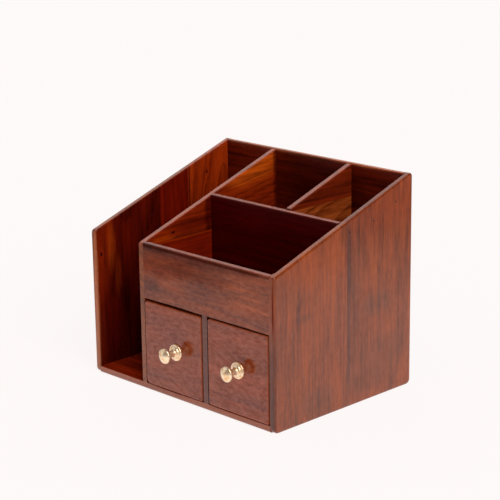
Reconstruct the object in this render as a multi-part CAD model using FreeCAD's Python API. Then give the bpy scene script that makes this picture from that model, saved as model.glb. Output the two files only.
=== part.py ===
import FreeCAD, Part
import math
import os

# A wooden pen stand: a carcass with sloping sides, a letter bay on the left, three open
# compartments on the right and two small drawers below them.
# Millimetres. X to the right, Y to the back, Z up. The origin is the middle of the footprint,
# on the underside.

# The stand as a whole
WIDTH = 220.0
DEPTH = 164.0
FRONT_HEIGHT = 128.0        # where the sloping tops would meet the front plane
BACK_HEIGHT = 184.7         # where they would meet the back plane

# Boards of the carcass
WALL = 5.8                  # upright boards: sides, partition, apron, back and dividers
FLOOR = 6.0                 # level boards: base and shelf
HOUSING = 2.0               # how deep the shelf's ends are let into the boards beside it

# Clear spaces in the carcass
BAY_WIDTH = 56.0            # letter bay
DRAWER_SPACE = 75.2         # height of the drawer openings, base to shelf
POCKET_DEPTH = 72.6         # front pocket, apron to cross partition
REAR_LEFT_WIDTH = 83.9      # left rear compartment, partition to rear divider

# Boards glued up from narrower pieces
LEFT_STAVE_FRONT = 75.0     # widths of the sides' staves, counted from the front
LEFT_STAVE_MIDDLE = 33.5
RIGHT_STAVE_FRONT = 83.6
PARTITION_UPPER = 2.5       # height of the partition's upper board at its front end
REAR_DIVIDER_UPPER = 2.4    # height of the rear divider's upper board at its front end
BACK_SEAM = 92.0            # height of the back's seam over the underside

# Sanded corners and edges
LOWER_CORNER = 4.6          # lower corners of a side's outline
FREE_CORNER = 3.5           # front top corner of the left side, which stands free
JOINED_CORNER = 2.5         # corners of a side's outline that the apron and the back meet
BASE_ARRIS = 2.5            # the base's lower front edge
BACK_ARRIS = 3.2            # the back's rear top edge
OUTER_ARRIS = 2.0           # edges round the outside of the stand
TOP_ARRIS = 1.2             # top edges of the boards, and the edges beside the letter bay
DRAWER_CORNER = 2.2         # outline corners of a drawer front
WORN_CORNER = 4.2           # the left drawer front's outer lower corner
DRAWER_BEVEL = 0.7          # edges of a drawer front's face

# Drawers
SIDE_GAP = 0.8              # between a drawer and the boards beside it
RUN_GAP = 0.4               # under a drawer
TOP_GAP = 1.3               # over a drawer front
LEFT_FRONT_LOW = 0.9        # the left front's top is this much lower
DRAWER_PROUD = 0.6          # a closed drawer's face stands this far before the carcass
REAR_PLAY = 3.0             # behind a closed drawer
DRAWER_FRONT = 6.5          # thickness of the front
DRAWER_SIDE = 5.0           # thickness of the sides and back
FRONT_LIP = 3.3             # what the front's rabbets leave over the ends of the sides
SIDE_DROP = 2.0             # from the front's top down to the top of the sides and back
BOTTOM_PANEL = 3.0          # thickness of the bottom
GROOVE_UP = 4.0             # from the drawer's lower edge to the bottom's groove
GROOVE_DEPTH = 2.5
PANEL_PLAY = 0.2            # between the bottom's edges and the ends of their grooves

# Turned knobs; heights are from the face of the drawer
LEFT_KNOB_SIDEWAYS = 3.6    # the left knob is drilled this far right of the middle
LEFT_KNOB_UP = -1.0         # and this far above it
RIGHT_KNOB_SIDEWAYS = 0.7
RIGHT_KNOB_UP = 1.2
FLANGE_D = 14.4
FLANGE_HEIGHT = 1.7
FLANGE_BEVEL = 0.6
BEAD_D = 10.6               # raised ring on the flange
BEAD_TOP_D = 9.0
BEAD_HEIGHT = 3.0
NECK_D = 5.4
NECK_START = 6.2
NECK_END = 9.3
HEAD_D = 13.0
HEAD_START = 11.9           # underside of the head
HEAD_BEVEL = 0.8            # below the head's rim
HEAD_RIM = 0.7              # straight part of the head's rim
DOME_D = 9.6
DOME_START = 14.9
KNOB_HEIGHT = 16.6          # to the top of the dome
COVE_MIDDLE = 0.25          # how near the cove's middle lies to its inner corner
KNOB_BORE_D = 3.7
KNOB_BORE_DEPTH = 7.5

# Knob screws, driven from inside the drawer
SCREW_D = 3.5
SCREW_GRIP = 6.5            # length of screw inside the knob
FRONT_BORE_D = 4.2          # hole through the drawer front
SCREW_HEAD_D = 7.0
SCREW_HEAD_HEIGHT = 2.3
SCREW_HEAD_BEVEL = 0.8
SLOT_WIDTH = 1.0
SLOT_DEPTH = 1.1

# Planes that the boards share
LEFT = -WIDTH / 2
RIGHT = WIDTH / 2
FRONT = -DEPTH / 2
BACK = DEPTH / 2
INNER_LEFT = LEFT + WALL
INNER_RIGHT = RIGHT - WALL
INNER_FRONT = FRONT + WALL
INNER_BACK = BACK - WALL
PARTITION = (INNER_LEFT + BAY_WIDTH, INNER_LEFT + BAY_WIDTH + WALL)
SHELF = (FLOOR + DRAWER_SPACE, FLOOR + DRAWER_SPACE + FLOOR)
CROSS = (INNER_FRONT + POCKET_DEPTH, INNER_FRONT + POCKET_DEPTH + WALL)
REAR_DIVIDER = (PARTITION[1] + REAR_LEFT_WIDTH, PARTITION[1] + REAR_LEFT_WIDTH + WALL)
OPENING_WIDTH = (INNER_RIGHT - PARTITION[1] - WALL) / 2
DRAWER_DIVIDER = (PARTITION[1] + OPENING_WIDTH, PARTITION[1] + OPENING_WIDTH + WALL)

# Planes that both drawers share
DRAWER_FACE = FRONT - DRAWER_PROUD
DRAWER_BOTTOM = FLOOR + RUN_GAP
DRAWER_TOP = SHELF[0] - TOP_GAP
DRAWER_REAR = INNER_BACK - REAR_PLAY
SIDE_TOP = DRAWER_TOP - SIDE_DROP
PANEL = (DRAWER_BOTTOM + GROOVE_UP, DRAWER_BOTTOM + GROOVE_UP + BOTTOM_PANEL)

TOLERANCE = 1e-4
ANYWHERE = (-2 * WIDTH, 2 * WIDTH)

made = {}


def near(a, b):
    return abs(a - b) < TOLERANCE


def slope(y):
    """Height of the sloping tops at y."""
    return FRONT_HEIGHT + (BACK_HEIGHT - FRONT_HEIGHT) * (y - FRONT) / DEPTH


def block(x, y, z):
    """A box between pairs of planes."""
    return Part.makeBox(x[1] - x[0], y[1] - y[0], z[1] - z[0], FreeCAD.Vector(x[0], y[0], z[0]))


def edges_where(shape, test):
    """The edges whose ends all pass a test of their coordinates."""
    return [edge for edge in shape.Edges if all(test(*end.Point) for end in edge.Vertexes)]


def soften(shape, radius, test):
    return shape.makeFillet(radius, edges_where(shape, test))


def bevel(shape, size, test):
    return shape.makeChamfer(size, edges_where(shape, test))


def join(first, *others):
    """One solid from solids that overlap."""
    return first.multiFuse(list(others)).removeSplitter().Solids[0]


def sloping_board(x, y, bottom):
    """An upright board between planes, whose top follows the slope."""
    corners = [(y[0], bottom), (y[0], slope(y[0])), (y[1], slope(y[1])), (y[1], bottom)]
    points = [FreeCAD.Vector(x[0], *corner) for corner in corners]
    outline = Part.makePolygon(points + points[:1])
    return Part.Face(outline).extrude(FreeCAD.Vector(x[1] - x[0], 0, 0))


def split_along_y(board, *seams):
    """The pieces of a board glued up from upright staves."""
    limits = [ANYWHERE[0], *seams, ANYWHERE[1]]
    slabs = [block(ANYWHERE, pair, ANYWHERE) for pair in zip(limits, limits[1:])]
    return [board.common(slab).Solids[0] for slab in slabs]


def split_along_z(board, seam):
    """The lower and the upper piece of a board glued up from two."""
    slabs = [block(ANYWHERE, ANYWHERE, pair) for pair in ((ANYWHERE[0], seam), (seam, ANYWHERE[1]))]
    return [board.common(slab).Solids[0] for slab in slabs]


# Carcass

def side_panel(outer, inner, front_top_corner, square_places):
    """A side with a rounded outline. Its inner edge stays square where other boards meet it."""
    panel = sloping_board(sorted((outer, inner)), (FRONT, BACK), 0.0)
    outline_corners = [
        (FRONT, 0.0, LOWER_CORNER),
        (FRONT, FRONT_HEIGHT, front_top_corner),
        (BACK, BACK_HEIGHT, JOINED_CORNER),
        (BACK, 0.0, LOWER_CORNER),
    ]
    for at_y, at_z, radius in outline_corners:
        panel = soften(panel, radius, lambda x, y, z: near(y, at_y) and near(z, at_z))
    panel = soften(panel, OUTER_ARRIS, lambda x, y, z: near(x, outer))
    rounded = soften(panel, TOP_ARRIS, lambda x, y, z: near(x, inner))
    return join(rounded, *[panel.common(place) for place in square_places])


def shelf_housing(x):
    """Room for one end of the shelf."""
    return block(x, (INNER_FRONT, INNER_BACK), SHELF)


def make_sides():
    beside_base = block(ANYWHERE, ANYWHERE, (0.0, FLOOR))
    beside_back = block(ANYWHERE, (INNER_BACK, BACK), ANYWHERE)
    beside_apron = block(ANYWHERE, (FRONT, INNER_FRONT), ANYWHERE)

    left = side_panel(LEFT, INNER_LEFT, FREE_CORNER, [beside_base, beside_back])
    first_seam = FRONT + LEFT_STAVE_FRONT
    staves = split_along_y(left, first_seam, first_seam + LEFT_STAVE_MIDDLE)
    made["left_side_front_stave"] = staves[0]
    made["left_side_middle_stave"] = staves[1]
    made["left_side_rear_stave"] = staves[2]

    right_places = [beside_base, beside_back, beside_apron]
    right = side_panel(RIGHT, INNER_RIGHT, JOINED_CORNER, right_places)
    right = right.cut(shelf_housing((INNER_RIGHT, INNER_RIGHT + HOUSING)))
    staves = split_along_y(right, FRONT + RIGHT_STAVE_FRONT)
    made["right_side_front_stave"] = staves[0]
    made["right_side_rear_stave"] = staves[1]


def make_base():
    base = block((INNER_LEFT, INNER_RIGHT), (FRONT, BACK), (0.0, FLOOR))
    base = soften(base, BASE_ARRIS, lambda x, y, z: near(y, FRONT) and near(z, 0))
    made["base_board"] = soften(base, OUTER_ARRIS, lambda x, y, z: near(y, BACK) and near(z, 0))


def make_shelf():
    ends = (PARTITION[1] - HOUSING, INNER_RIGHT + HOUSING)
    made["shelf_board"] = block(ends, (INNER_FRONT, INNER_BACK), SHELF)


def make_partition():
    board = sloping_board(PARTITION, (FRONT, INNER_BACK), FLOOR)
    board = soften(board, JOINED_CORNER, lambda x, y, z: near(y, FRONT) and near(z, FRONT_HEIGHT))
    rounded = board
    for face in PARTITION:
        rounded = soften(
            rounded,
            TOP_ARRIS,
            lambda x, y, z: near(x, face) and (near(y, FRONT) or near(z, slope(y))),
        )
    right_half = (sum(PARTITION) / 2, PARTITION[1])
    beside_apron = block(right_half, (FRONT, INNER_FRONT), ANYWHERE)
    board = join(rounded, board.common(beside_apron))
    board = board.cut(shelf_housing((PARTITION[1] - HOUSING, PARTITION[1])))
    lower, upper = split_along_z(board, slope(FRONT) - PARTITION_UPPER)
    made["partition_lower_board"] = lower
    made["partition_upper_board"] = upper


def level_board(x, y, bottom, rear_arris=TOP_ARRIS):
    """A board across the stand, level with the slope at the middle of its top."""
    top = slope(sum(y) / 2)
    board = block(x, y, (bottom, top))
    for face, radius in zip(y, (TOP_ARRIS, rear_arris)):
        board = soften(board, radius, lambda x, y, z: near(y, face) and near(z, top))
    return board


def make_cross_boards():
    across = (PARTITION[1], INNER_RIGHT)
    made["apron_board"] = level_board(across, (FRONT, INNER_FRONT), SHELF[0])
    made["cross_partition"] = level_board(across, CROSS, SHELF[1])


def make_back():
    back = level_board((INNER_LEFT, INNER_RIGHT), (INNER_BACK, BACK), FLOOR, BACK_ARRIS)
    lower, upper = split_along_z(back, BACK_SEAM)
    made["back_lower_board"] = lower
    made["back_upper_board"] = upper


def make_dividers():
    divider = sloping_board(REAR_DIVIDER, (CROSS[1], INNER_BACK), SHELF[1])
    for face in REAR_DIVIDER:
        divider = soften(divider, TOP_ARRIS, lambda x, y, z: near(x, face) and near(z, slope(y)))
    lower, upper = split_along_z(divider, slope(CROSS[1]) - REAR_DIVIDER_UPPER)
    made["rear_divider_lower_board"] = lower
    made["rear_divider_upper_board"] = upper
    made["drawer_divider"] = block(DRAWER_DIVIDER, (FRONT, INNER_BACK), (FLOOR, SHELF[0]))


# Drawers

def drawer_front(x, top, lower_left_corner):
    """The front: rabbets for the sides at its ends, and a groove for the bottom between them."""
    back_face = DRAWER_FACE + DRAWER_FRONT
    front = block(x, (DRAWER_FACE, back_face), (DRAWER_BOTTOM, top))
    outline_corners = [
        (x[0], DRAWER_BOTTOM, lower_left_corner),
        (x[1], DRAWER_BOTTOM, DRAWER_CORNER),
        (x[0], top, DRAWER_CORNER),
        (x[1], top, DRAWER_CORNER),
    ]
    for at_x, at_z, radius in outline_corners:
        front = soften(front, radius, lambda x, y, z: near(x, at_x) and near(z, at_z))
    front = bevel(front, DRAWER_BEVEL, lambda x, y, z: near(y, DRAWER_FACE))
    inside = (x[0] + DRAWER_SIDE, x[1] - DRAWER_SIDE)
    for ends in ((x[0], inside[0]), (inside[1], x[1])):
        front = front.cut(block(ends, (DRAWER_FACE + FRONT_LIP, back_face), ANYWHERE))
    return front.cut(block(inside, (back_face - GROOVE_DEPTH, back_face), PANEL))


def drawer_side(outer, inner):
    """A side, grooved along its whole inner face for the bottom."""
    length = (DRAWER_FACE + FRONT_LIP, DRAWER_REAR)
    side = block(sorted((outer, inner)), length, (DRAWER_BOTTOM, SIDE_TOP))
    groove_floor = inner + math.copysign(GROOVE_DEPTH, outer - inner)
    return side.cut(block(sorted((groove_floor, inner)), ANYWHERE, PANEL))


def drawer_bottom(inside):
    """The bottom: in the grooves of front and sides, and under the back."""
    reach = GROOVE_DEPTH - PANEL_PLAY
    x = (inside[0] - reach, inside[1] + reach)
    return block(x, (DRAWER_FACE + DRAWER_FRONT - reach, DRAWER_REAR), PANEL)


def at_knob(shape, place):
    """Turn a shape made along +Z to face forwards, with its zero on the drawer's face."""
    shape.rotate(FreeCAD.Vector(0, 0, 0), FreeCAD.Vector(1, 0, 0), 90)
    shape.translate(FreeCAD.Vector(place[0], DRAWER_FACE, place[1]))
    return shape


def knob_outline():
    """Half of a knob's section: flange, bead, cove, neck, flare, head and dome."""
    flange, bead, bead_top = FLANGE_D / 2, BEAD_D / 2, BEAD_TOP_D / 2
    neck, head, dome = NECK_D / 2, HEAD_D / 2, DOME_D / 2
    rim = HEAD_START + HEAD_BEVEL
    cove = (
        neck + COVE_MIDDLE * (bead_top - neck),
        BEAD_HEIGHT + COVE_MIDDLE * (NECK_START - BEAD_HEIGHT),
    )
    section = [
        (0, 0),
        (flange, 0),
        (flange, FLANGE_HEIGHT - FLANGE_BEVEL),
        (flange - FLANGE_BEVEL, FLANGE_HEIGHT),
        (bead, FLANGE_HEIGHT),
        (bead_top, BEAD_HEIGHT),
        cove,
        (neck, NECK_START),
        (neck, NECK_END),
        (head - HEAD_BEVEL, HEAD_START),
        (head, rim),
        (head, rim + HEAD_RIM),
        (dome, DOME_START),
    ]
    rise = KNOB_HEIGHT - DOME_START
    radius = (dome**2 + rise**2) / (2 * rise)
    half_turn = math.asin(dome / radius) / 2
    cap = Part.Arc(
        FreeCAD.Vector(dome, 0, DOME_START),
        FreeCAD.Vector(
            radius * math.sin(half_turn), 0, KNOB_HEIGHT - radius * (1 - math.cos(half_turn))
        ),
        FreeCAD.Vector(0, 0, KNOB_HEIGHT),
    )
    axis = Part.makeLine(FreeCAD.Vector(0, 0, KNOB_HEIGHT), FreeCAD.Vector(0, 0, 0))
    turned = Part.makePolygon([FreeCAD.Vector(r, 0, h) for r, h in section])
    return Part.Wire([*turned.Edges, cap.toShape(), axis])


def knob(place):
    axis = FreeCAD.Vector(0, 0, 1)
    turned = Part.Face(knob_outline()).revolve(FreeCAD.Vector(0, 0, 0), axis, 360)
    bore = Part.makeCylinder(KNOB_BORE_D / 2, KNOB_BORE_DEPTH)
    return at_knob(turned.cut(bore).Solids[0], place)


def knob_screw(place):
    """A slotted screw: its head is against the back of the front, its shank reaches the knob."""
    down = FreeCAD.Vector(0, 0, -1)
    seat = FreeCAD.Vector(0, 0, -DRAWER_FRONT)
    shank = Part.makeCylinder(SCREW_D / 2, DRAWER_FRONT + SCREW_GRIP, seat)
    head = Part.makeCylinder(SCREW_HEAD_D / 2, SCREW_HEAD_HEIGHT, seat, down)
    top = -DRAWER_FRONT - SCREW_HEAD_HEIGHT
    head = bevel(head, SCREW_HEAD_BEVEL, lambda x, y, z: near(z, top))
    half = SLOT_WIDTH / 2
    slot = block((-SCREW_HEAD_D, SCREW_HEAD_D), (-half, half), (top, top + SLOT_DEPTH))
    return at_knob(join(shank, head.cut(slot)), place)


def front_bore(place):
    """The screw's clearance hole, right through the drawer front."""
    behind = FreeCAD.Vector(0, 0, -2 * DRAWER_FRONT)
    return at_knob(Part.makeCylinder(FRONT_BORE_D / 2, 3 * DRAWER_FRONT, behind), place)


def make_drawer(side, opening, front_top, lower_left_corner, sideways, up):
    """One drawer in its opening, with its knob this far off the middle of the front."""
    outside = (opening[0] + SIDE_GAP, opening[1] - SIDE_GAP)
    inside = (outside[0] + DRAWER_SIDE, outside[1] - DRAWER_SIDE)
    place = (sum(outside) / 2 + sideways, (DRAWER_BOTTOM + DRAWER_TOP) / 2 + up)
    front = drawer_front(outside, front_top, lower_left_corner)
    made[side + "_drawer_front"] = front.cut(front_bore(place))
    made[side + "_drawer_left_side"] = drawer_side(outside[0], inside[0])
    made[side + "_drawer_right_side"] = drawer_side(outside[1], inside[1])
    made[side + "_drawer_back"] = block(
        inside, (DRAWER_REAR - DRAWER_SIDE, DRAWER_REAR), (PANEL[1], SIDE_TOP)
    )
    made[side + "_drawer_bottom"] = drawer_bottom(inside)
    made[side + "_drawer_knob"] = knob(place)
    made[side + "_drawer_knob_screw"] = knob_screw(place)


make_sides()
make_base()
make_shelf()
make_partition()
make_cross_boards()
make_back()
make_dividers()
make_drawer(
    "left", (PARTITION[1], DRAWER_DIVIDER[0]), DRAWER_TOP - LEFT_FRONT_LOW, WORN_CORNER,
    LEFT_KNOB_SIDEWAYS, LEFT_KNOB_UP,
)
make_drawer(
    "right", (DRAWER_DIVIDER[1], INNER_RIGHT), DRAWER_TOP, DRAWER_CORNER,
    RIGHT_KNOB_SIDEWAYS, RIGHT_KNOB_UP,
)

os.makedirs("parts", exist_ok=True)
for name, shape in made.items():
    shape.exportStep("parts/" + name + ".step")
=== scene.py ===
import math

import bpy
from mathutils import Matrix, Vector


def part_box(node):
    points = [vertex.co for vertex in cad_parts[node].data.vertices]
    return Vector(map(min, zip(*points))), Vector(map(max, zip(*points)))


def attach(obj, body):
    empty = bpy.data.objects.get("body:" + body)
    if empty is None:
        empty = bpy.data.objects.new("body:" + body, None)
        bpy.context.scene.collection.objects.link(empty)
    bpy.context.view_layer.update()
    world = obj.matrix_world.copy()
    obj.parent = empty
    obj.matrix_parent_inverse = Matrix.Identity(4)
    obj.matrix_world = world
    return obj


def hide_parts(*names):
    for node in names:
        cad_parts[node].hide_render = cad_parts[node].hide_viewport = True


# Looks for the pen stand. Lengths are millimetres in the row frame (X to the right, Y to the
# back, Z up, from the middle of the footprint) and turn into metres where Blender takes them.
# Colours are linear red, green and blue.

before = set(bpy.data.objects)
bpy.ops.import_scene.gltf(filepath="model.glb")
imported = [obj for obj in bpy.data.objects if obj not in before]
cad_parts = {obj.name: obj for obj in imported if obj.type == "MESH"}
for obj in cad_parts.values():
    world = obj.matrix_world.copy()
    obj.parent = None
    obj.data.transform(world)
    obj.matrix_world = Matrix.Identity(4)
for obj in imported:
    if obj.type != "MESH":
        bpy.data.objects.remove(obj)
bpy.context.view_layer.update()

MM = 0.001


def box(node):
    """The low and the high corner of a node."""
    low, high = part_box(node)
    return low / MM, high / MM


# Faces of the stand from which places on it are counted. Heights count from the underside.
LEFT = box("left_side_front_stave")[0].x
INNER_LEFT = box("left_side_front_stave")[1].x
PARTITION_LEFT = box("partition_lower_board")[0].x
PARTITION_RIGHT = box("partition_lower_board")[1].x
RIGHT = box("right_side_front_stave")[1].x
FRONT = box("base_board")[0].y
BASE_TOP = box("base_board")[1].z
APRON_FOOT = box("apron_board")[0].z


def top_normal():
    """The direction that the sloping tops of the boards look in."""
    front, middle = box("left_side_front_stave")[1], box("left_side_middle_stave")[1]
    slope = math.atan2(middle.z - front.z, middle.y - front.y)
    return (0.0, -math.sin(slope), math.cos(slope))


# Figure of the wood: how wide and how long its features are, across and along the grain
WANDER = (38.0, 110.0)          # of the tree's middle
RIPPLE = (9.0, 45.0)            # of the growth rings
CLOUDS = (16.0, 60.0)
STREAKS = (2.6, 80.0)
BLOTCHES = (2.8, 6.0)
FIBRES = (0.9, 22.0)
PORES = (0.34, 5.0)
WEAR = (3.0, 14.0)              # of the sanded arrises
WAVES = (7.0, 16.0)             # of the varnish
KNOT_LENGTH = 1 / 0.6           # of a knot, for a width of 1
BOARD_STEP = (37.0, 53.0, 71.0)  # from one board's piece of the noise to the next one's

# Relief of the varnish
WAVE_DEPTH = 0.10
FIBRE_DEPTH = 0.03
PORE_DEPTH = 0.03
VARNISH_IOR = 1.5

# How strongly these colours cover the wood
PORE_COVER = 0.35
KNOT_COVER = 0.92
RIM_COVER = 0.7
ARRIS_COVER = 0.5

# Colours of the stained wood without the reflection in its varnish
OUTSIDE_LIGHT = (0.36, 0.064, 0.006)
OUTSIDE_DARK = (0.10, 0.017, 0.004)
# Inside the stand the same wood is painted darker and redder, down to near black: painted shade
SHADED_INSIDE_LIGHT = (0.30, 0.018, 0.0012)
SHADED_INSIDE_DARK = (0.07, 0.003, 0.0006)
DEEP_SHADE = (0.022, 0.0012, 0.0006)
UNLIT = (0.020, 0.0025, 0.0008)
DARK_TOP = (0.32, 0.045, 0.006)
LEFT_TOP = (0.30, 0.058, 0.007)
SANDED_TOP = (0.36, 0.066, 0.007)
PORE = (0.012, 0.003, 0.001)
KNOT = (0.008, 0.002, 0.001)
# Rounded arrises: thinner stain, and painted shade for the dim room they mirror
WORN_AND_SHADED_ARRIS = (0.2, 0.028, 0.005)

BACKGROUND = (0.983, 0.947, 0.939)
BACKGROUND_STRENGTH = 0.93      # of the floor's own light, that matches the backdrop's

REACH = 9.0                     # how deep a patch on a side or the partition goes into the wood


class Mark:
    """A soft patch on a board: how strongly its colour covers, and how much shine it takes away."""

    def __init__(self, centre, half_size, colour, strength, dullness=0.0):
        self.centre = centre
        self.half_size = half_size
        self.colour = colour
        self.strength = strength
        self.dullness = dullness


NUMBERS_FROM_VECTORS = ("DISTANCE", "LENGTH", "DOT_PRODUCT")


class Nodes:
    """A node tree with short calls for the kinds of node used here."""

    def __init__(self, tree):
        self.tree = tree
        tree.nodes.clear()

    def add(self, kind, sockets=None, **settings):
        """A node with these settings, and with its sockets linked or set."""
        node = self.tree.nodes.new(kind)
        for name, value in settings.items():
            setattr(node, name, value)
        for name, value in (sockets or {}).items():
            self.feed(node.inputs[name], value)
        return node

    def feed(self, socket, value):
        """Links the socket to another one, or sets it to a constant."""
        if isinstance(value, bpy.types.NodeSocket):
            self.tree.links.new(value, socket)
        elif socket.type == "RGBA":
            socket.default_value = (*value, 1.0)
        else:
            socket.default_value = value

    def maths(self, operation, *values):
        return self.add("ShaderNodeMath", dict(enumerate(values)), operation=operation).outputs[0]

    def vector(self, operation, *values):
        """Vector mathematics: the result is a number for some operations."""
        node = self.add("ShaderNodeVectorMath", dict(enumerate(values)), operation=operation)
        return node.outputs["Value" if operation in NUMBERS_FROM_VECTORS else "Vector"]

    def separate(self, vector):
        return self.add("ShaderNodeSeparateXYZ", {"Vector": vector}).outputs

    def millimetres(self):
        """The place on the object."""
        place = self.add("ShaderNodeTexCoord").outputs["Object"]
        return self.vector("MULTIPLY", place, (1 / MM,) * 3)

    def fit(self, value, low, high, start=0.0, end=1.0):
        """value from low..high to start..end, smoothly, held at the ends."""
        sockets = {"Value": value, "From Min": low, "From Max": high, "To Min": start, "To Max": end}
        return self.add("ShaderNodeMapRange", sockets, interpolation_type="SMOOTHSTEP").outputs[0]

    def sway(self, value, noise, amount):
        """value moved up and down by noise, which swings about 0.5."""
        return self.maths("MULTIPLY_ADD", self.maths("SUBTRACT", noise, 0.5), amount, value)

    def noise(self, vector, scale, detail, roughness=0.5):
        sockets = {"Vector": vector, "Scale": scale, "Detail": detail, "Roughness": roughness}
        return self.add("ShaderNodeTexNoise", sockets).outputs[0]

    def mix(self, factor, first, second, blend="MIX"):
        node = self.add("ShaderNodeMix", data_type="RGBA", blend_type=blend)
        for socket, value in ((node.inputs[0], factor), (node.inputs[6], first), (node.inputs[7], second)):
            self.feed(socket, value)
        return node.outputs[2]

    def bump(self, height, depth, under=None):
        """A surface whose height of 0 to 1 stands for this many millimetres."""
        sockets = {"Strength": 1.0, "Distance": depth * MM, "Height": height}
        if under:
            sockets["Normal"] = under
        return self.add("ShaderNodeBump", sockets).outputs[0]

    def principled(self, sockets):
        """Ends a material with this shader."""
        shader = self.add("ShaderNodeBsdfPrincipled", sockets)
        self.add("ShaderNodeOutputMaterial", {"Surface": shader.outputs[0]})


class Wood(Nodes):
    """The nodes of one board's wood, whose grain runs along one axis."""

    def __init__(self, tree, grain, number):
        super().__init__(tree)
        self.place = self.millimetres()
        self.shifted = self.vector("ADD", self.place, tuple(number * step for step in BOARD_STEP))
        self.along = "xyz".index(grain)
        self.normal = self.add("ShaderNodeTexCoord").outputs["Normal"]
        self.facing = self.separate(self.normal)
        self.level = self.fit(self.facing[2], 0.55, 0.85)
        self.ripple = self.figure(RIPPLE, 3.0)
        self.clouds = self.figure(CLOUDS, 3.0, 0.55)
        self.blotches = self.figure(BLOTCHES, 4.0, 0.6)
        self.fibres = self.figure(FIBRES, 4.0, 0.65)
        self.pores = self.fit(self.figure(PORES, 2.0, 0.6), 0.62, 0.74)

    def figure(self, size, detail, roughness=0.5):
        """Noise whose features are this wide and this long."""
        width, length = size
        sizes = [width] * 3
        sizes[self.along] = length
        return self.noise(self.vector("DIVIDE", self.shifted, tuple(sizes)), 1.0, detail, roughness)

    def away(self, point, sizes):
        """How far from a point, as a multiple of these sizes along the axes."""
        offset = self.vector("SUBTRACT", self.place, point)
        return self.vector("LENGTH", self.vector("DIVIDE", offset, tuple(sizes)))

    def knot(self, radius, heart, point, size):
        """Bends the rings round one knot and adds its dark heart."""
        sizes = [size] * 3
        sizes[self.along] *= KNOT_LENGTH
        away = self.away(point, sizes)
        radius = self.maths("MULTIPLY_ADD", self.fit(away, 4.0, 0.5), size * 2.2, radius)
        return radius, self.maths("MAXIMUM", heart, self.fit(away, 1.1, 0.6))

    def growth(self, spacing, pith, lean, warp, knots):
        """Growth rings round a wandering pith: how late the wood is, and the hearts of the knots.

        Late wood comes on slowly through a ring and ends at once.
        """
        axes = self.separate(self.place)
        across = [axis for axis in range(3) if axis != self.along]
        squares = []
        for axis, middle in zip(across, pith):
            centre = self.maths("MULTIPLY_ADD", axes[self.along], lean, middle)
            distance = self.maths("SUBTRACT", axes[axis], centre)
            squares.append(self.maths("MULTIPLY", distance, distance))
        radius = self.maths("SQRT", self.maths("ADD", *squares))
        radius = self.sway(radius, self.figure(WANDER, 2.0), warp * 3.0)
        radius = self.sway(radius, self.ripple, warp * 0.6)
        heart = 0.0
        for point, size in knots:
            radius, heart = self.knot(radius, heart, point, size)
        turn = self.maths("DIVIDE", radius, spacing)
        sockets = {"W": turn, "Scale": 0.45, "Detail": 2.0}
        years = self.add("ShaderNodeTexNoise", sockets, noise_dimensions="1D").outputs[0]
        ring = self.maths("FRACT", self.maths("MULTIPLY_ADD", years, 2.5, turn))
        late = self.maths("MULTIPLY", self.fit(ring, 0.25, 0.92), self.fit(ring, 1.0, 0.93))
        return late, heart

    def tone(self, late, rings, mottle, streak, fibre, uneven):
        """0 for the dark colour to 1 for the light one."""
        tone = self.maths("MULTIPLY_ADD", late, -rings, 0.5 + rings * 0.4)
        tone = self.sway(tone, self.clouds, mottle * 3.0)
        tone = self.sway(tone, self.figure(STREAKS, 3.0, 0.6), streak * 2.4)
        tone = self.sway(tone, self.fibres, fibre * 2.4)
        tone = self.sway(tone, self.blotches, uneven * 4.0)
        return self.add("ShaderNodeClamp", {"Value": tone}).outputs[0]

    def shine(self, uneven, matt):
        """Strength of the varnish's reflection: blotchy, and weaker on upright faces."""
        shine = self.fit(self.blotches, 0.30, 0.70, 0.5 * (1.0 - uneven), 0.5 * (1.0 + uneven))
        return self.maths("MULTIPLY", shine, self.maths("MULTIPLY_ADD", self.level, matt, 1.0 - matt))

    def mark(self, paint, shine, shade, mark):
        """Colour and shine with one soft patch laid over them, its border rippled like the rings."""
        away = self.sway(self.away(mark.centre, mark.half_size), self.ripple, 0.9)
        inside = self.fit(away, 1.2, 0.35)
        grained = self.mix(1.0, mark.colour, shade, "MULTIPLY")
        paint = self.mix(self.maths("MULTIPLY", inside, mark.strength), paint, grained)
        keeps = self.maths("MULTIPLY_ADD", inside, -mark.dullness, 1.0)
        return paint, self.maths("MULTIPLY", shine, keeps)

    def wear_and_shade_arrises(self, paint):
        """Thinner stain shows a redder, brighter wood where the mesh itself is rounded; on outer faces the
        same red is painted shade for the dim room that rounded arrises mirror.
        """
        flat = self.maths("ABSOLUTE", self.vector("DOT_PRODUCT", self.normal, top_normal()))
        for side in self.facing:
            flat = self.maths("MAXIMUM", flat, self.maths("ABSOLUTE", side))
        rounding = self.fit(flat, 0.985, 0.86)
        worn_and_shaded = self.maths("MULTIPLY", rounding, self.fit(self.figure(WEAR, 3.0), 0.3, 0.62))
        return self.mix(self.maths("MULTIPLY", worn_and_shaded, ARRIS_COVER), paint, WORN_AND_SHADED_ARRIS)

    def varnish(self, under):
        """The varnish's surface: brushed, and sunk into the fibres and pores."""
        surface = self.bump(self.figure(WAVES, 2.0), WAVE_DEPTH, under)
        surface = self.bump(self.fibres, FIBRE_DEPTH, surface)
        return self.bump(self.maths("SUBTRACT", 1.0, self.pores), PORE_DEPTH, surface)


def dress(node, material):
    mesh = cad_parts[node].data
    mesh.materials.clear()
    mesh.materials.append(material)


def new_material(name, kind=Nodes, *details):
    """An empty material and its nodes."""
    material = bpy.data.materials.new(name)
    material.use_nodes = True
    return material, kind(material.node_tree, *details)


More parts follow.
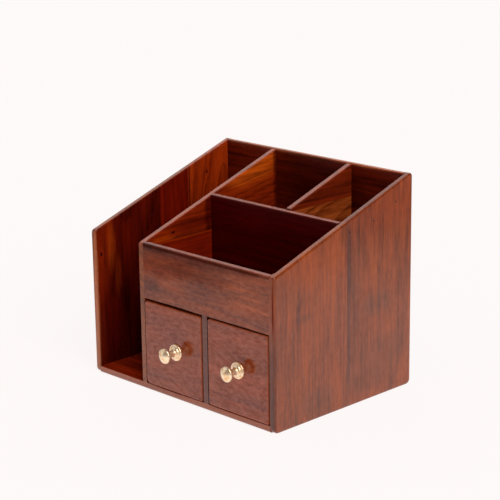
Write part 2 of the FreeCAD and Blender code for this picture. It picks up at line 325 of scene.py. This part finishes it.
def board(node, grain, light, dark, spacing=5.0, pith=(0.0, 0.0), lean=0.0, warp=4.0, rings=0.25,
          mottle=0.35, streak=0.5, fibre=0.25, uneven=0.12, number=0.0, polish=0.18, matt=0.0,
          edges=0.0, rim=None, top=None, flanks=None, outer=None, marks=(), knots=()):
    """Dresses one board in varnished wood.

    grain         the axis it runs along
    light, dark   the colours that its figure swings between
    spacing       distance between growth rings
    pith, lean    the tree's middle in the two other axes, and how far it moves along both of
                  them per millimetre of grain
    warp          how far the rings wander
    rings, mottle, streak, fibre   how much of rings, clouds, streaks and fibres shows
    uneven        how blotchy colour and shine are
    number        which piece of the noise the board's figure comes from
    polish        roughness of the varnish
    matt          how much shine the upright faces lack
    edges         how wide the shading rounds sharp edges
    rim           the colour of the edges that it rounds: a painted highlight, with thinner stain
    top, flanks   colours of faces that look up, and of faces that look left or right
    outer         light and dark colour of faces that look left
    marks         soft patches, each a Mark
    knots         the middle and the width of each
    """
    material, n = new_material(node, Wood, grain, number)
    late, heart = n.growth(spacing, pith, lean, warp, knots)
    tone = n.tone(late, rings, mottle, streak, fibre, uneven)
    shade = n.maths("MULTIPLY_ADD", tone, 1.1, 0.45)
    paint = n.mix(tone, dark, light)
    shine = n.shine(uneven, matt)
    if flanks:
        sideways = n.fit(n.maths("ABSOLUTE", n.facing[0]), 0.5, 0.9)
        paint = n.mix(sideways, paint, flanks)
        shine = n.maths("MULTIPLY", shine, n.maths("SUBTRACT", 1.0, sideways))
    for mark in marks:
        paint, shine = n.mark(paint, shine, shade, mark)
    paint = n.mix(n.maths("MULTIPLY", n.pores, PORE_COVER), paint, PORE)
    if knots:
        paint = n.mix(n.maths("MULTIPLY", heart, KNOT_COVER), paint, KNOT)
    if outer:
        outer_light, outer_dark = outer
        leftwards = n.fit(n.facing[0], -0.5, -0.9)
        paint = n.mix(leftwards, paint, n.mix(tone, outer_dark, outer_light))
    if top:
        paint = n.mix(n.level, paint, n.mix(1.0, top, shade, "MULTIPLY"))
    rounded = n.add("ShaderNodeBevel", {"Radius": edges * MM}, samples=4).outputs[0] if edges else None
    if rim:
        edge = n.fit(n.vector("DOT_PRODUCT", rounded, n.normal), 0.99, 0.88)
        paint = n.mix(n.maths("MULTIPLY", edge, RIM_COVER), paint, rim)
    roughness = n.maths("MULTIPLY_ADD", n.pores, 0.1, n.sway(polish, n.clouds, 0.18))
    n.principled({
        "Base Color": n.wear_and_shade_arrises(paint), "Roughness": roughness, "IOR": VARNISH_IOR,
        "Specular IOR Level": shine, "Normal": n.varnish(rounded),
    })
    dress(node, material)


def brass():
    """Lacquered brass, half mirror and half satin, with fine turning marks round the Y axis."""
    material, n = new_material("turned_brass")
    place = n.millimetres()
    turning = n.noise(n.vector("MULTIPLY", place, (0.15, 14.0, 0.15)), 1.0, 2.0)
    stains = n.noise(place, 0.35, 4.0, 0.6)
    n.principled({
        "Base Color": n.mix(n.fit(stains, 0.42, 0.68), (0.94, 0.75, 0.52), (0.84, 0.46, 0.20)),
        "Metallic": 0.66,
        "Roughness": n.maths("MULTIPLY_ADD", stains, 0.16, 0.10),
        "Normal": n.bump(turning, 0.012),
    })
    return material


def steel():
    """Zinc-plated screws."""
    material, n = new_material("plated_steel")
    stains = n.noise(n.millimetres(), 0.8, 4.0, 0.6)
    n.principled({
        "Base Color": n.mix(stains, (0.36, 0.37, 0.38), (0.62, 0.62, 0.60)),
        "Metallic": 1.0,
        "Roughness": n.maths("MULTIPLY_ADD", stains, 0.3, 0.2),
        "Normal": n.bump(stains, 0.01),
    })
    return material


# Boards

def dress_left_side():
    face = INNER_LEFT
    # The inner faces carry the letter bay's painted light and shade; faces that look left get the outside
    # colours
    board(
        "left_side_front_stave", "z", (0.14, 0.006, 0.0008), DEEP_SHADE,
        spacing=9.0, pith=(-170.0, -62.0), lean=0.1, mottle=0.4, number=1.0, top=LEFT_TOP,
        outer=(OUTSIDE_LIGHT, OUTSIDE_DARK),
        marks=[
            # painted shade at the foot, painted light at the front with two light streaks, front edge
            Mark((face, FRONT + 37.0, 20.0), (REACH, 70.0, 66.0), (0.045, 0.0012, 0.0005), 0.8),
            Mark((face, FRONT + 8.0, 108.0), (REACH, 17.0, 44.0), (0.17, 0.011, 0.001), 0.9),
            Mark((face, FRONT + 17.0, 108.0), (REACH, 5.0, 26.0), (0.25, 0.030, 0.002), 0.7),
            Mark((face, FRONT + 24.0, 86.0), (REACH, 4.0, 22.0), (0.24, 0.025, 0.002), 0.6),
            Mark((face, FRONT + 5.0, 26.0), (REACH, 5.0, 44.0), (0.12, 0.010, 0.002), 0.4),
            Mark((LEFT + 3.0, FRONT - 0.6, 50.0), (12.0, 3.0, 130.0), (0.32, 0.080, 0.022), 0.95),
        ],
        knots=[((face, FRONT + 6.0, 106.0), 1.3)],
    )
    board(
        "left_side_middle_stave", "z", (0.24, 0.009, 0.0008), (0.08, 0.003, 0.0008),
        spacing=4.0, pith=(-160.0, 30.0), lean=0.05, rings=0.2, number=2.0, top=LEFT_TOP,
        outer=(OUTSIDE_LIGHT, OUTSIDE_DARK),
    )
    board(
        "left_side_rear_stave", "z", (0.48, 0.045, 0.003), (0.16, 0.010, 0.001),
        spacing=9.0, pith=(-112.0, 56.0), lean=0.12, warp=8.0, rings=0.4, streak=0.25, number=3.0,
        top=(0.40, 0.055, 0.005), outer=(OUTSIDE_LIGHT, OUTSIDE_DARK),
        marks=[
            # seam
            Mark((face, FRONT + 110.3, 140.0), (REACH, 1.0, 200.0), (0.03, 0.002, 0.0006), 0.8),
        ],
        knots=[((face, FRONT + 132.0, 158.0), 1.0)],
    )


def dress_right_side():
    face = RIGHT
    board(
        "right_side_front_stave", "z", OUTSIDE_LIGHT, OUTSIDE_DARK,
        pith=(190.0, -60.0), lean=0.03, rings=0.15, mottle=0.36, fibre=0.36, number=4.0, top=SANDED_TOP,
        marks=[
            # red top, dark strip along the front, two dark clouds, grey foot
            Mark((face, FRONT + 32.0, 138.0), (REACH, 60.0, 26.0), (0.34, 0.056, 0.004), 0.5, 0.12),
            Mark((face, FRONT + 4.0, 60.0), (REACH, 9.0, 100.0), (0.13, 0.024, 0.006), 0.4),
            Mark((face, FRONT + 31.0, 88.0), (REACH, 15.0, 4.0), (0.10, 0.018, 0.005), 0.35),
            Mark((face, FRONT + 19.0, 72.0), (REACH, 4.0, 20.0), (0.10, 0.018, 0.005), 0.35),
            Mark((face, FRONT + 50.0, 16.0), (REACH, 24.0, 14.0), (0.13, 0.032, 0.010), 0.5),
            # front edge, and a dark line painted at its joint with the apron for the dim room the corner
            # mirrors
            Mark((face - 3.0, FRONT - 1.0, 104.0), (REACH, 3.0, 40.0), (0.22, 0.036, 0.006), 0.6),
            Mark((face - 3.0, FRONT - 1.0, 20.0), (REACH, 3.0, 72.0), (0.10, 0.019, 0.006), 0.85),
            Mark((face - 1.8, FRONT, 104.0), (0.9, 3.0, 25.0), (0.14, 0.010, 0.001), 0.9, 0.9),
        ],
    )
    board(
        "right_side_rear_stave", "z", OUTSIDE_LIGHT, OUTSIDE_DARK,
        spacing=6.0, pith=(190.0, 50.0), lean=-0.03, rings=0.15, mottle=0.36, fibre=0.36,
        number=5.0, top=(0.23, 0.038, 0.006),
        marks=[
            # dark band at the seam, the seam, red top, grey clouds near the foot
            Mark((face, FRONT + 91.0, 110.0), (REACH, 14.0, 140.0), (0.15, 0.030, 0.008), 0.4),
            Mark((face, FRONT + 85.5, 120.0), (REACH, 4.0, 130.0), (0.07, 0.016, 0.010), 0.6),
            Mark((face, FRONT + 127.0, 168.0), (REACH, 75.0, 34.0), (0.23, 0.033, 0.004), 0.7),
            Mark((face, FRONT + 126.0, 38.0), (REACH, 42.0, 18.0), (0.16, 0.032, 0.008), 0.75),
            Mark((face, FRONT + 106.0, 18.0), (REACH, 28.0, 13.0), (0.12, 0.024, 0.006), 0.6),
            Mark((face, FRONT + 120.0, 82.0), (REACH, 22.0, 11.0), (0.13, 0.034, 0.010), 0.5),
        ],
        knots=[
            ((face, FRONT + 86.5, 148.0), 0.9),
            ((face, FRONT + 115.0, 152.0), 0.7),
            ((face, FRONT + 143.0, 163.0), 0.7),
        ],
    )


def dress_level_boards():
    # The top, the letter bay's floor, is painted a dark red for the shade inside the stand
    board(
        "base_board", "x", (0.37, 0.090, 0.034), (0.19, 0.042, 0.018),
        pith=(-20.0, -60.0), lean=0.03, number=6.0, top=(0.30, 0.020, 0.002),
        marks=[
            # painted light at the front and painted shade at the rear of the letter bay's floor, shadow
            # lines under the drawers
            Mark((-66.0, FRONT + 12.0, BASE_TOP), (16.0, 9.0, 3.0), (0.50, 0.060, 0.005), 0.6),
            Mark((-93.0, FRONT + 52.0, BASE_TOP), (13.0, 50.0, 3.0), (0.10, 0.006, 0.001), 0.6),
            Mark((-6.0, FRONT - 1.0, BASE_TOP + 0.2), (36.0, 4.0, 1.2), (0.09, 0.009, 0.002), 0.95, 1.0),
            Mark((68.0, FRONT - 1.0, BASE_TOP + 0.2), (38.0, 4.0, 1.2), (0.09, 0.009, 0.002), 0.95, 1.0),
        ],
    )
    board("shelf_board", "x", SHADED_INSIDE_LIGHT, SHADED_INSIDE_DARK, pith=(10.0, 20.0), number=7.0)


def dress_partition():
    face = PARTITION_RIGHT
    front_edge = Mark(
        (PARTITION_LEFT + 3.2, FRONT - 0.6, 60.0), (12.0, 3.0, 160.0), (0.22, 0.048, 0.008), 0.95
    )
    board(
        "partition_lower_board", "y", (0.32, 0.016, 0.0012), (0.11, 0.005, 0.001),
        spacing=7.0, pith=(-90.0, 60.0), lean=0.05, number=8.0,
        marks=[
            # light line below the seam
            Mark((face, FRONT + 52.0, 124.4), (REACH, 44.0, 1.2), (0.55, 0.055, 0.003), 0.45),
            front_edge,
        ],
    )
    board(
        "partition_upper_board", "y", (0.38, 0.030, 0.002), (0.10, 0.005, 0.0008),
        spacing=6.0, pith=(-75.0, 190.0), lean=0.30, warp=5.0, rings=0.35, number=9.0,
        top=(0.36, 0.055, 0.008),
        marks=[
            # painted light on the rear, seam, dark band over it, painted shade in the corners with the
            # cross partition and the back, a painted glint by the seam at the front
            Mark((face, FRONT + 124.0, 173.0), (REACH, 44.0, 21.0), (0.74, 0.115, 0.006), 0.65),
            Mark((face, FRONT + 42.0, 125.7), (REACH, 44.0, 0.8), (0.01, 0.001, 0.0005), 0.7),
            Mark((face, FRONT + 57.0, 134.0), (REACH, 34.0, 7.0), (0.10, 0.004, 0.0008), 0.7),
            Mark((face, FRONT + 76.0, 145.0), (REACH, 6.0, 60.0), (0.06, 0.002, 0.0006), 0.85),
            Mark((face, FRONT + 158.0, 160.0), (REACH, 4.0, 60.0), (0.06, 0.002, 0.0006), 0.8),
            Mark((face, FRONT + 22.0, 127.0), (REACH, 16.0, 3.0), (0.55, 0.060, 0.003), 0.7),
            front_edge,
        ],
        knots=[((face, FRONT + 34.0, 131.0), 1.1)],
    )


def dress_back():
    # Both boards are painted dark for the shade on the back's inner face
    board(
        "back_lower_board", "x", SHADED_INSIDE_DARK, DEEP_SHADE, pith=(100.0, 60.0), number=10.0, matt=0.7,
    )
    # The upper board's pale top and the band along its top edge are a painted highlight
    board(
        "back_upper_board", "x", (0.17, 0.012, 0.001), (0.04, 0.002, 0.0008),
        spacing=10.0, pith=(100.0, 150.0), lean=0.04, number=11.0, matt=0.7, top=(0.58, 0.17, 0.08),
        marks=[
            # painted highlight along the top edge, dark middle
            Mark((0.0, FRONT + 158.0, 183.2), (130.0, 9.0, 1.7), (0.40, 0.10, 0.03), 0.7),
            Mark((12.0, FRONT + 158.0, 160.0), (56.0, 9.0, 40.0), (0.045, 0.002, 0.0005), 0.85),
        ],
    )


def dress_compartments():
    board(
        "apron_board", "x", (0.34, 0.058, 0.007), (0.11, 0.016, 0.004),
        spacing=9.0, pith=(-105.0, 95.0), lean=0.06, warp=6.0, rings=0.2, mottle=0.4,
        streak=0.35, fibre=0.36, uneven=0.25, number=12.0, top=DARK_TOP,
        marks=[
            # dark clouds, a dark line painted along the top arris for the dim room it mirrors, red right
            # end, shadow over the drawers
            Mark((0.0, FRONT, 126.0), (112.0, 8.0, 9.0), (0.08, 0.009, 0.002), 0.85, 0.5),
            Mark((-20.0, FRONT, 112.0), (50.0, 8.0, 12.0), (0.17, 0.022, 0.002), 0.75, 0.6),
            Mark((-34.0, FRONT, 94.0), (16.0, 8.0, 7.0), (0.08, 0.012, 0.005), 0.6),
            Mark((20.0, FRONT - 1.0, 126.9), (125.0, 6.0, 2.0), (0.04, 0.004, 0.001), 0.8, 0.9),
            Mark((24.0, FRONT, 114.0), (46.0, 8.0, 10.0), (0.12, 0.018, 0.003), 0.65, 0.45),
            Mark((84.0, FRONT, 105.0), (28.0, 8.0, 17.0), (0.32, 0.056, 0.007), 0.6),
            Mark((-8.0, FRONT, APRON_FOOT - 0.3), (36.0, 8.0, 1.1), UNLIT, 0.9, 0.9),
            Mark((67.0, FRONT, APRON_FOOT - 0.3), (38.0, 8.0, 1.1), UNLIT, 0.9, 0.9),
        ],
    )
    # The cross partition's wood is painted near black for the shade on its front face
    board(
        "cross_partition", "x", (0.08, 0.0008, 0.0004), (0.030, 0.0008, 0.0004),
        spacing=7.0, pith=(20.0, 60.0), number=13.0, matt=0.8, top=DARK_TOP,
    )
    board(
        "rear_divider_lower_board", "y", (0.54, 0.105, 0.018), (0.15, 0.019, 0.003),
        spacing=7.0, pith=(30.0, 130.0), lean=0.12, warp=6.0, rings=0.5, streak=0.7, number=14.0,
    )
    board(
        "rear_divider_upper_board", "y", (0.26, 0.024, 0.004), (0.05, 0.004, 0.001),
        spacing=6.0, pith=(20.0, 170.0), lean=0.1, streak=0.7, number=15.0, top=DARK_TOP,
    )
    board(
        "drawer_divider", "y", (0.17, 0.036, 0.018), (0.09, 0.020, 0.012),
        pith=(30.0, 40.0), number=16.0, edges=0.5, flanks=UNLIT,
    )


def dress_drawers():
    inner_parts = (("left_side", "y"), ("right_side", "y"), ("back", "x"), ("bottom", "x"))
    for side, number, middle in (("left", 20.0, -7.0), ("right", 30.0, 69.0)):
        board(
            # The rounded edges get a painted highlight and the sides, seen in the gaps, a painted shade
            side + "_drawer_front", "x", (0.35, 0.054, 0.009), (0.13, 0.019, 0.005),
            spacing=8.0, pith=(-140.0, 20.0 + number), lean=0.04, rings=0.15, mottle=0.4,
            streak=0.2, fibre=0.24, uneven=0.32, number=number, polish=0.16,
            edges=1.1, rim=(0.62, 0.12, 0.022), flanks=(0.045, 0.006, 0.0015),
        )
        for step, (part, grain) in enumerate(inner_parts, start=1):
            board(
                f"{side}_drawer_{part}", grain, (0.34, 0.095, 0.022), (0.18, 0.036, 0.008),
                pith=(middle, 30.0), number=number + step, polish=0.42,
            )


# Knobs

KNOB_STEPS = 96                 # round the knob


def put(name, data):
    """A new object in the scene."""
    thing = bpy.data.objects.new(name, data)
    bpy.context.scene.collection.objects.link(thing)
    return thing


def lathe(name, place, section, material):
    """A piece turned round a forward axis through place; section is (radius, distance from face)."""
    points, faces = [], []
    for radius, distance in section:
        for step in range(KNOB_STEPS):
            angle = 2.0 * math.pi * step / KNOB_STEPS
            points.append((
                (place[0] + radius * math.cos(angle)) * MM,
                (place[1] - distance) * MM,
                (place[2] + radius * math.sin(angle)) * MM,
            ))
    for row in range(len(section) - 1):
        for step in range(KNOB_STEPS):
            a = row * KNOB_STEPS + step
            b = row * KNOB_STEPS + (step + 1) % KNOB_STEPS
            faces.append((a, b, b + KNOB_STEPS, a + KNOB_STEPS))
    faces.append(tuple(range(KNOB_STEPS)))
    faces.append(tuple(reversed(range((len(section) - 1) * KNOB_STEPS, len(section) * KNOB_STEPS))))
    mesh = bpy.data.meshes.new(name)
    mesh.from_pydata(points, [], faces)
    mesh.materials.append(material)
    mesh.validate()
    for face in mesh.polygons:
        face.use_smooth = len(face.vertices) == 4
    return put(name, mesh)


def curve(start, middle, end, steps):
    """Points on a smooth curve from start to end that is drawn towards middle."""
    points = []
    for step in range(steps + 1):
        t = step / steps
        points.append(tuple(
            (1 - t) ** 2 * a + 2 * t * (1 - t) * b + t**2 * c for a, b, c in zip(start, middle, end)
        ))
    return points


def knob_section():
    """From the middle of the flange's underside to the top of the dome."""
    bead, neck, head = 5.28, 2.7, 6.5       # radii
    return [
        # flange and bead
        (1.0, 0.05), (7.0, 0.05),
        *curve((7.16, 0.15), (7.25, 1.65), (6.3, 1.65), 8),
        (5.4, 1.7),
        *curve((bead, 1.8), (bead, 2.95), (4.3, 2.95), 8),
        # cove and neck
        *curve((4.2, 2.95), (2.75, 3.3), (neck, 6.4), 12),
        (neck, 9.3),
        # head: underside, rim and dome
        *curve((neck, 9.4), (2.9, 11.7), (5.6, 11.95), 12),
        *curve((5.7, 11.98), (head, 12.2), (head, 13.1), 8),
        *curve((head, 13.2), (6.45, 14.0), (5.2, 14.6), 8),
        *curve((5.1, 14.65), (2.6, 16.55), (0.05, 16.57), 14),
    ]


def make_knobs(material):
    """Smooth knobs in the place of the faceted ones."""
    for side in ("left", "right"):
        low, high = box(side + "_drawer_knob")
        place = ((low.x + high.x) / 2, high.y, (low.z + high.z) / 2)
        knob = lathe(side + "_knob", place, knob_section(), material)
        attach(knob, side + "_drawer")
        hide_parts(side + "_drawer_knob")


# Studio

def make_world():
    """The pale backdrop, soft light all round, and for the varnish and brass a room to mirror.

    The room is dim but for a lit ceiling at the upper left, a lamp overhead, a screen at the
    left front and a bright band low on the walls.
    """
    world = bpy.data.worlds.new("studio")
    bpy.context.scene.world = world
    world.use_nodes = True
    n = Nodes(world.node_tree)
    direction = n.add("ShaderNodeTexCoord").outputs["Generated"]
    height = n.separate(direction)[2]

    def patch(towards, edge, core, strength):
        """A round light in that direction; edge and core are cosines from its middle."""
        return n.fit(n.vector("DOT_PRODUCT", direction, towards), edge, core, 0.0, strength)

    ceiling = patch((-0.50, 0.45, 0.74), 0.745, 0.92, 1.25)
    lamp = patch((0.42, -0.25, 0.87), 0.96, 0.975, 4.0)
    screen = patch((-0.73, -0.62, 0.28), 0.84, 0.95, 0.74)
    walls = n.fit(height, 0.14, 0.02, 0.0, 0.8)
    bright = n.maths("MAXIMUM", n.maths("MAXIMUM", ceiling, lamp), n.maths("MAXIMUM", walls, screen))
    room = n.maths("ADD", bright, 0.09)
    ray = n.add("ShaderNodeLightPath").outputs
    seen = n.maths("MAXIMUM", ray["Is Camera Ray"], ray["Is Transmission Ray"])
    mirrored = n.add("ShaderNodeBackground", {"Color": BACKGROUND, "Strength": room})
    backdrop = n.add("ShaderNodeBackground", {"Color": BACKGROUND, "Strength": 1.0})
    soft = n.add("ShaderNodeBackground", {"Color": (1.0, 0.97, 0.95), "Strength": 0.35})
    glossy = ray["Is Glossy Ray"]
    unseen = n.add("ShaderNodeMixShader", {0: glossy, 1: soft.outputs[0], 2: mirrored.outputs[0]})
    whole = n.add("ShaderNodeMixShader", {0: seen, 1: unseen.outputs[0], 2: backdrop.outputs[0]})
    n.add("ShaderNodeOutputWorld", {"Surface": whole.outputs[0]})


def make_sun(name, towards, strength, spread):
    light = bpy.data.lights.new(name, "SUN")
    light.energy = strength
    light.angle = math.radians(spread)
    put(name, light).rotation_euler = Vector(towards).to_track_quat("-Z", "Y").to_euler()


def make_floor():
    """A pale floor, mostly self-lit, so that it stays even but keeps a soft shadow.

    What the varnish mirrors of it fades away from the object, except behind it.
    """
    reach, under = 6.0, 0.0003      # metres
    mesh = bpy.data.meshes.new("floor")
    corners = [(-reach, -reach), (reach, -reach), (reach, reach), (-reach, reach)]
    mesh.from_pydata([(x, y, -under) for x, y in corners], [], [(0, 1, 2, 3)])
    material, n = new_material("pale_floor")
    # distances on the floor are metres too
    place = n.add("ShaderNodeTexCoord").outputs["Object"]
    near = n.fit(n.vector("DISTANCE", place, (0.05, 0.04, 0.0)), 0.25, 0.72, 1.08, 0.25)
    behind = n.fit(n.vector("DOT_PRODUCT", place, (-0.713, 0.70, 0.0)), 0.12, 0.45)
    mirrored = n.maths("SUBTRACT", n.maths("MAXIMUM", near, behind), BACKGROUND_STRENGTH)
    glossy = n.add("ShaderNodeLightPath").outputs["Is Glossy Ray"]
    strength = n.maths("MULTIPLY_ADD", glossy, mirrored, BACKGROUND_STRENGTH)
    glow = n.add("ShaderNodeEmission", {"Color": BACKGROUND, "Strength": strength})
    matt = n.add("ShaderNodeBsdfDiffuse", {"Color": (0.115, 0.111, 0.110)})
    both = n.add("ShaderNodeAddShader", {0: glow.outputs[0], 1: matt.outputs[0]})
    n.add("ShaderNodeOutputMaterial", {"Surface": both.outputs[0]})
    mesh.materials.append(material)
    put("floor", mesh)


def make_camera():
    """The photo's camera, from a fit to the stand's straight edges. Places are in metres."""
    camera = bpy.data.cameras.new("camera")
    camera.sensor_width = 36.0
    camera.lens = 118.90
    camera.clip_end = 50.0
    viewer = put("camera", camera)
    viewer.location = (0.96235, -0.94343, 0.48480)
    viewer.rotation_euler = [math.radians(angle) for angle in (74.607, 0.754, 45.336)]
    bpy.context.scene.camera = viewer


dress_left_side()
dress_right_side()
dress_level_boards()
dress_partition()
dress_back()
dress_compartments()
dress_drawers()
brass_material = brass()
steel_material = steel()
for side in ("left", "right"):
    dress(side + "_drawer_knob", brass_material)
    dress(side + "_drawer_knob_screw", steel_material)
make_knobs(brass_material)

make_world()
make_sun("key", (-0.75, 0.30, -0.60), 1.5, 40.0)
make_floor()
make_camera()
bpy.context.scene.view_settings.view_transform = "Standard"
